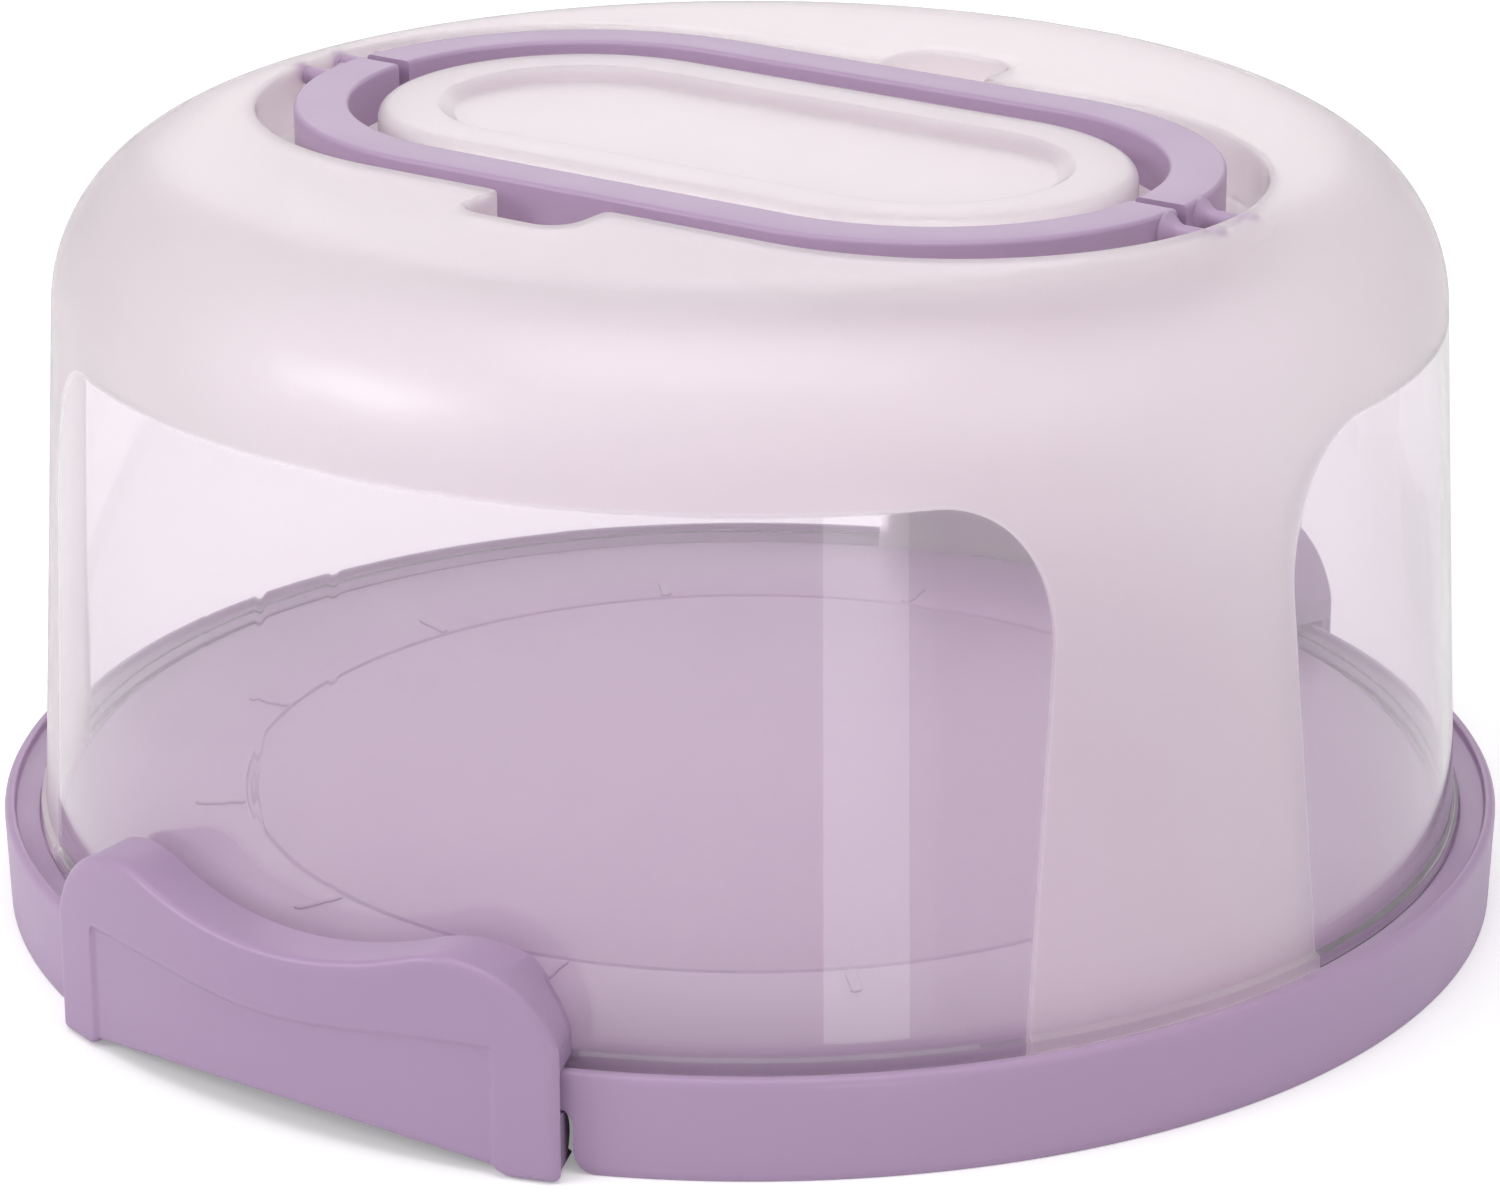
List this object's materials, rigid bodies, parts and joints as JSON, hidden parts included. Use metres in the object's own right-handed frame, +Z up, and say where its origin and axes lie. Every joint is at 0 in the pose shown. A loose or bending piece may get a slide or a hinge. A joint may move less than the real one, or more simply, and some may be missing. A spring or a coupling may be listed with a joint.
{
  "type": "cake carrier",
  "caption": "Round cake carrier with a frosted dome lid, a lilac base tray, wavy side clips and a fold-flat handle set in the top.",
  "frame": {"origin": "centre of the base tray's underside, on the table", "axes": "+Z up; X along the handle's long axis; the clips stand at -Y and +Y"},
  "size_m": [0.32, 0.3286, 0.163],
  "materials": {
    "tray_plastic": "satin lilac polypropylene",
    "clip_plastic": "satin lilac polypropylene",
    "handle_plastic": "satin lilac polypropylene",
    "lid_plastic": "frosted translucent plastic with three clear windows"
  },
  "bodies": {
    "base": {"base_tray": "tray_plastic"},
    "lid": {"dome_lid": "lid_plastic"},
    "handle_a": {"handle_front": "handle_plastic"},
    "handle_b": {"handle_rear": "handle_plastic"},
    "clip_a": {"clip_front": "clip_plastic"},
    "clip_b": {"clip_rear": "clip_plastic"}
  },
  "joints": [
    {"name": "lid_lift", "type": "slide", "parent": "base", "child": "lid", "axis": [0, 0, 1], "range_m": [0, 0.16]},
    {"name": "handle_front_fold", "type": "hinge", "parent": "lid", "child": "handle_a", "pos_m": [0, -0.0064, 0.159], "axis": [-1, 0, 0], "range_deg": [0, 90]},
    {"name": "handle_rear_fold", "type": "hinge", "parent": "lid", "child": "handle_b", "pos_m": [0, 0.0064, 0.159], "axis": [1, 0, 0], "range_deg": [0, 90]},
    {"name": "clip_front_swing", "type": "hinge", "parent": "base", "child": "clip_a", "pos_m": [0, -0.149, 0.007], "axis": [1, 0, 0], "range_deg": [0, 45]},
    {"name": "clip_rear_swing", "type": "hinge", "parent": "base", "child": "clip_b", "pos_m": [0, 0.149, 0.007], "axis": [-1, 0, 0], "range_deg": [0, 45]}
  ]
}
